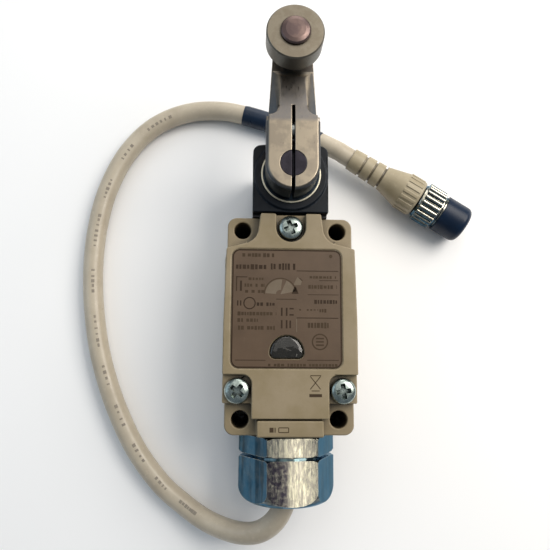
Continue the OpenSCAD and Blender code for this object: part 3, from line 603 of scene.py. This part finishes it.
def joined(name, meshes):
    """One mesh of several."""
    bm = bmesh.new()
    for mesh in meshes:
        bm.from_mesh(mesh)
    whole = bpy.data.meshes.new(name)
    bm.to_mesh(whole)
    bm.free()
    return whole


COVER_SEAT = 35.8                                # Z under the heads of the cover's screws
COVER_SCREWS = ((0, 29.6, 22), (-16, -20.6, -38), (16, -20.6, 8))        # X, Y and turn
HEAD_SEAT = 54                                   # Y under the heads of the end face's screws
HEAD_SCREWS = ((-8.8, 7.6, 15), (8.8, 7.6, 60), (-8.8, 30.4, -20), (8.8, 30.4, 38))  # X, Z, turn
CREASE = 28                                      # the least sharp edge of a screw, in degrees
ENDWAYS = Matrix.Rotation(math.radians(-90), 4, "X")


def add_screws():
    """The three screws of the cover, and the four on the head's end face."""
    upright = [Matrix.Translation((x, y, COVER_SEAT)) @ Matrix.Rotation(math.radians(turn), 4, "Z")
               for x, y, turn in COVER_SCREWS]
    lying = [Matrix.Translation((x, HEAD_SEAT, z)) @ ENDWAYS
             @ Matrix.Rotation(math.radians(turn), 4, "Z") for x, z, turn in HEAD_SCREWS]
    cover = joined("cover_screws", [
        cross_screw(head_d=7.8, head_h=2.4, shank_d=3.46, length=8.5, place=m) for m in upright])
    head = joined("head_screws", [
        cross_screw(head_d=5.8, head_h=2.3, shank_d=3.44, length=26, place=m) for m in lying])
    shown("cover_screw_set", cover, "switch", "zinc_screw", ["cover_screws"], sharp=CREASE)
    shown("head_screw_set", head, "switch", "zinc_screw", ["head_screws"], sharp=CREASE)


def add_sleeve():
    """The navy sleeve on the lead, a little uneven, as vinyl is when it is shrunk on."""
    steps, wave, play = 44, random.Random(7), 0.02
    start, stop = SLEEVE_SPAN
    outer, inner = [], []
    for i in range(steps + 1):
        t = start + (stop - start) * i / steps
        rounding = 0.16 if i in (0, steps) else 0
        swell = wave.uniform(-0.03, 0.04)
        outer.append(lead_ring(t, LEAD_D / 2 + SLEEVE_T + swell - rounding))
        inner.append(lead_ring(t, LEAD_D / 2 + play))
    bm = bmesh.new()
    rings(bm, outer + inner[::-1], closed=True)
    shown("lead_sleeve", mesh_of("lead_sleeve", bm), "switch", "navy_sleeve", ["cable_sleeve"])


def middle_x(node):
    """The X of a node's middle, in millimetres."""
    low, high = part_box(node)
    return (low.x + high.x) / 2 / MM


def top_of(node):
    """The height of a node's highest face, in millimetres."""
    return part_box(node)[1].z / MM


WINDOW_X, WINDOW_Y = middle_x("window_lens"), -9.3      # the middle of its half circle
WINDOW_R = 5.1
WINDOW_FOOT = 3.5                                # half the straight side, between its corners
WINDOW_STEPS = (                                 # how much wider than WINDOW_R, and the height
    (1.2, 34.4), (1.2, 35.45), (0.0, 35.5), (0.0, 37.1),
    (-0.12, 37.4), (-0.4, 37.6), (-1.1, 37.78), (-2.2, 37.86),
)


def add_lens():
    """The D-shaped window: a clear crowned block with a flange under the cover."""
    corner = WINDOW_R - WINDOW_FOOT
    outline = [(WINDOW_R * math.cos(a), WINDOW_R * math.sin(a))
               for a in (math.pi * k / 32 for k in range(33))]
    for side, start in ((-1, math.pi), (1, 1.5 * math.pi)):
        outline += [(side * WINDOW_FOOT + corner * math.cos(a), corner * math.sin(a))
                    for a in (start + math.pi / 2 * k / 8 for k in range(1, 9))]
    outline = outline[:-1]
    bm = bmesh.new()
    rings(bm, [[(WINDOW_X + x * (1 + grow / WINDOW_R),
                 WINDOW_Y + y * (1 + grow / WINDOW_R) - grow * 0.1, z) for x, y in outline]
               for grow, z in WINDOW_STEPS])
    shown("window_pane", mesh_of("window_pane", bm), "switch", "lens", ["window_lens"])


def bar(x0, y0, x1, y1):
    """The outline of an upright rectangle."""
    return [(x0, y0), (x1, y0), (x1, y1), (x0, y1)]


def stroke(x0, y0, x1, y1, wide):
    """The outline of a straight line of some width."""
    way = Vector((x1 - x0, y1 - y0)).normalized() * wide / 2
    return [(x0 - way.y, y0 + way.x), (x0 + way.y, y0 - way.x),
            (x1 + way.y, y1 - way.x), (x1 - way.y, y1 + way.x)]


def words(seed, x0, x1, y, high, block=(0.45, 0.95), gap=(0.2, 0.34)):
    """A row of upright blocks that reads as a line of small print from afar."""
    dice, x, row, spaces = random.Random(seed), x0, [], 0.15
    while x < x1:
        wide = min(dice.uniform(*block), x1 - x)
        tall = high * dice.uniform(0.72, 1.0)
        row.append(bar(x, y - tall / 2, x + wide, y + tall / 2))
        x += wide + (dice.uniform(*gap) if dice.random() > spaces else 3 * gap[1])
    return row


def arc(x, y, r, width, start, stop, steps):
    """A ring or a part of one, as short pieces. Width is measured inwards from r."""
    out = []
    for k in range(steps):
        a, b = (math.radians(start + (stop - start) * i / steps) for i in (k, k + 1))
        out.append([(x + q * math.cos(c), y + q * math.sin(c))
                    for q, c in ((r, a), (r, b), (r - width, b), (r - width, a))])
    return out


def rounded_frame(x, y, wide, high, r, band):
    """A thin frame with rounded corners, as short pieces."""
    def outline(inset):
        """The frame's outer edge, or one moved inwards."""
        return [(x + cx * (wide / 2 - r) + (r - inset) * math.cos(start + math.pi * k / 16),
                 y + cy * (high / 2 - r) + (r - inset) * math.sin(start + math.pi * k / 16))
                for cx, cy, start in ((1, 1, 0), (-1, 1, math.pi / 2), (-1, -1, math.pi),
                                      (1, -1, 1.5 * math.pi)) for k in range(9)]
    out, into = outline(0), outline(band)
    turn = out[1:] + out[:1]
    inner = into[1:] + into[:1]
    return [[a, b, c, d] for a, b, c, d in zip(out, turn, inner, into)]


PRINT_T = 0.03
PRINT_SUNK = 0.01                                # how far marks start inside their face
PRINT_MIDDLE = (-0.6, 4.3)                       # of the label, in the numbers of its print
PRINT_X = middle_x("nameplate") - PRINT_MIDDLE[0]
WHOLE = (0, 360)
DIAL_X, DIAL_Y, DIAL_R = -2.6, 8.5, 4.6


def add_print(name, figures, on, material, slot="nameplate", about=0):
    """Thin four-sided marks printed on a node's highest face. Their X counts from about."""
    base = top_of(on) - PRINT_SUNK
    bm = bmesh.new()
    for figure in figures:
        rings(bm, [[(about + x, y, z) for x, y in figure] for z in (base, base + PRINT_T)])
    shown(name, mesh_of(name, bm), "switch", slot, material=material)


def add_label_print():
    """Generic rows, rules, rings and upright bars in place of the maker's dark print."""
    headings = words(3, -5.6, 2.0, 17.1, 2.2, (0.45, 0.8), (0.22, 0.32))
    headings += words(4, -16.3, -7.0, 16.9, 1.7, (0.6, 1.2), (0.25, 0.4))
    headings += words(5, -9.8, -4.2, 5.4, 1.1) + words(6, 7.8, 15.0, 6.3, 1.3)
    rules = [bar(2.4, 15.7, 15.3, 15.95), bar(2.4, 1.2, 15.2, 1.45), bar(-3.9, 6.9, 2.4, 7.1),
             bar(5.8, 8.4, 15.3, 8.58), bar(9.4, 12.8, 15.3, 13.0),
             bar(-16.2, -11.6, -7.0, -11.4), bar(5.6, -11.5, 15.2, -11.3)]
    middle_bars = [bar(x, y, x + 0.5, y + 2.5) for y in (1.9, -1.9) for x in (-2.4, -0.9)]
    middle_bars += [bar(0.2, 2.0, 1.5, 2.45), bar(0.2, 3.9, 1.5, 4.35), bar(0.2, -1.8, 0.7, 0.5)]
    left_bars = [bar(-16.2, 9.4, -15.9, 13.9), bar(-16.2, 13.6, -12.8, 13.9),
                 bar(-15.0, 9.4, -14.4, 12.6), bar(-15.8, 4.9, -15.4, 6.5),
                 bar(-14.9, 4.9, -14.5, 6.5)]
    left_ring = arc(-12.0, 5.7, 1.9, 0.35, *WHOLE, 32)
    dial_foot = [(0.9, 8.7), (3.0, 8.7), (2.2, 10.9), (1.7, 10.9)]
    tick = stroke(3.3, 13.6, 4.2, 12.7, 0.2)
    figures = headings + rules + middle_bars + left_bars + left_ring + [dial_foot, tick]
    add_print("label_print", figures, "nameplate", INK, about=PRINT_X)


SMALL_ROWS = (                                   # left end, right end, middle and height
    (-12.4, -7.6, 13.2, 0.9), (-13.6, -7.4, 11.2, 1.1), (-13.4, -7.6, 9.3, 1.1),
    (-15.6, -3.8, 2.5, 1.2), (-15.6, -9.4, 0.5, 1.2), (-15.4, -4.0, -1.8, 1.3),
    (6.4, 14.6, 13.9, 0.9), (6.0, 14.8, 10.9, 1.3), (9.4, 12.0, 3.6, 1.2),
    (5.8, 12.2, -0.9, 1.9), (-6.2, 14.8, -12.9, 0.9),
)


def add_small_print():
    """Fainter rows, a ring with three bars, and the thin arc round the dial."""
    figures = words(9, -14.4, -4.6, 20.6, 1.3, (0.7, 1.1), (0.15, 0.25))
    for seed, row in enumerate(SMALL_ROWS, 20):
        figures += words(seed, *row)
    figures += words(40, 3.2, 9.0, 3.8, 0.5, (0.5, 0.6), (0.5, 0.6))
    figures += arc(9.5, -5.9, 2.5, 0.4, *WHOLE, 36)
    figures += [bar(8.3, y, 10.7, y + 0.45) for y in (-7.1, -6.1, -5.1)]
    figures += arc(DIAL_X, DIAL_Y, DIAL_R + 0.5, 0.3, 10, 180, 30)
    figures += arc(13.0, 20.5, 0.55, 0.5, *WHOLE, 16)
    add_print("label_small_print", figures, "nameplate", FAINT_INK, about=PRINT_X)


def add_dial():
    """The pale half dial in two parts, with a pointer and a short line below it."""
    figures = arc(DIAL_X, DIAL_Y, DIAL_R, DIAL_R - 0.2, 12, 66, 6)
    figures += arc(DIAL_X, DIAL_Y, DIAL_R, DIAL_R - 1.4, 84, 176, 12)
    figures += [[(1.4, 11.4), (3.6, 11.4), (4.0, 12.6), (2.6, 13.9)], bar(2.3, -3.0, 2.5, 1.0)]
    add_print("label_dial", figures, "nameplate", PALE_INK, about=PRINT_X)


def add_case_marks():
    """A thin dark line round the label's edge, painted as the shadow of its recess, and plain
    marks on the cover and on the lip.
    """
    # Painted shadow: the dark frame stands for the shade at the edge of the label's recess.
    recess_shadow_line = rounded_frame(*PRINT_MIDDLE, 33.6, 36.2, 2.3, 0.4)
    add_print("label_recess_shadow", recess_shadow_line, "nameplate", INK, about=PRINT_X)
    marks = [stroke(5.9, -16.2, 9.0, -20.0, 0.25), stroke(9.0, -16.2, 5.9, -20.0, 0.25),
             bar(5.9, -16.1, 9.2, -15.85), bar(6.3, -20.6, 8.7, -20.35),
             bar(5.6, -22.3, 9.4, -21.4)]
    add_print("cover_marks", marks, "front_cover", FAINT_INK, "painted_casting")
    lip = rounded_frame(-2.0, -31.9, 3.2, 1.6, 0.3, 0.25)
    lip += [bar(-6.2, -32.6, -5.0, -31.2), bar(-4.7, -32.6, -4.4, -31.2)]
    add_print("lip_marks", lip, "housing", FAINT_INK, "painted_casting")


MARKED_SPAN = (9.4, 20.6)                        # stretch of the route that is printed on
MARKS_LEAN = math.radians(14)                    # from the lead's top to the loop's inside
MARK_DEPTH, MARK_RISE = 0.07, 0.012              # of a dash, in and out of the lead's round


def add_lead_marks():
    """Small dashes printed along the lead, in groups, on the side that faces up."""
    t, stop = MARKED_SPAN
    dice, bm = random.Random(11), bmesh.new()
    while t < stop:
        for _ in range(dice.randint(4, 7)):
            here, way, side, top = lead_axes(t)
            out = math.cos(MARKS_LEAN) * top + math.sin(MARKS_LEAN) * side
            over = way.cross(out)
            long, wide = dice.uniform(0.25, 0.6), dice.uniform(0.35, 0.6)
            rings(bm, [[here + out * (LEAD_D / 2 + lift) + way * long * a + over * wide * b
                        for a, b in CORNERS] for lift in (-MARK_DEPTH, MARK_RISE)])
            t += dice.uniform(0.10, 0.15)
        t += dice.uniform(0.3, 0.55)
    shown("lead_marks", mesh_of("lead_marks", bm), "switch", "cable_jacket", material=LEAD_INK)


add_screws()
add_sleeve()
add_lens()
add_label_print()
add_small_print()
add_dial()
add_case_marks()
add_lead_marks()


# ---- floor and light ------------------------------------------------------

# Sizes and places in this section are in metres
FLOOR_SIZE = 1.5
FLOOR_DROP = 0.0002                              # keeps the floor clear of what lies on it
FLOOR_WHITE = (0.93, 0.93, 0.93, 1)
SKY, SKY_STRENGTH = (0.78, 0.88, 1.0, 1), 0.24
LIGHTS = (                                       # name, place, width and height, watts, colour
    ("key", (0.36, 0.20, 0.42), (0.40, 0.40), 3.2, (1.0, 0.95, 0.88)),
    ("top", (0.02, 0.32, 0.60), (0.66, 0.66), 1.3, (1.0, 0.96, 0.90)),
    ("strip", (0.146, -0.17, 0.60), (0.030, 0.26), 0.060, (1.0, 0.95, 0.84)),
    ("fill", (-0.45, 0.10, 0.30), (0.40, 0.40), 0.5, (0.70, 0.85, 1.0)),
    ("back", (0.05, 0.55, 0.22), (0.30, 0.30), 0.8, (1.0, 0.97, 0.92)),
)


def add_floor():
    """A plain pale floor under the switch."""
    bm = bmesh.new()
    bmesh.ops.create_grid(bm, x_segments=1, y_segments=1, size=FLOOR_SIZE)
    mesh = bpy.data.meshes.new("floor")
    bm.to_mesh(mesh)
    bm.free()
    floor = bpy.data.objects.new("floor", mesh)
    floor.location.z = -FLOOR_DROP
    bpy.context.scene.collection.objects.link(floor)
    f = Finish("floor", Base_Color=FLOOR_WHITE, Roughness=0.8)
    mesh.materials.append(f.material)


def add_light(name, place, size, power, colour):
    """A soft panel that faces the switch's origin."""
    lamp = bpy.data.lights.new(name, "AREA")
    lamp.shape, lamp.energy, lamp.color = "RECTANGLE", power, colour
    lamp.size, lamp.size_y = size
    light = bpy.data.objects.new(name, lamp)
    bpy.context.scene.collection.objects.link(light)
    away = Vector(place).normalized()
    up = (Vector((0, 1, 0)) - away.y * away).normalized()
    light.matrix_world = (Matrix.Translation(place)
                          @ Matrix((up.cross(away), up, away)).transposed().to_4x4())


def add_world():
    """A weak, slightly blue light from all around."""
    world = bpy.data.worlds.new("studio")
    bpy.context.scene.world = world
    world.use_nodes = True
    background = world.node_tree.nodes["Background"]
    background.inputs["Color"].default_value = SKY
    background.inputs["Strength"].default_value = SKY_STRENGTH


add_floor()
add_world()
for panel in LIGHTS:
    add_light(*panel)
bpy.context.scene.view_settings.view_transform = "Standard"


# ---- the plug's pieces, gathered in a list --------------------------------

plug = [bpy.data.objects[n + "_shape"] for n in ("connector_grip", "coupling_nut", "dust_cap")]
plug += [NODES["contact_carrier"], NODES["contact_pins"], bpy.data.objects["lead_sleeve"]]
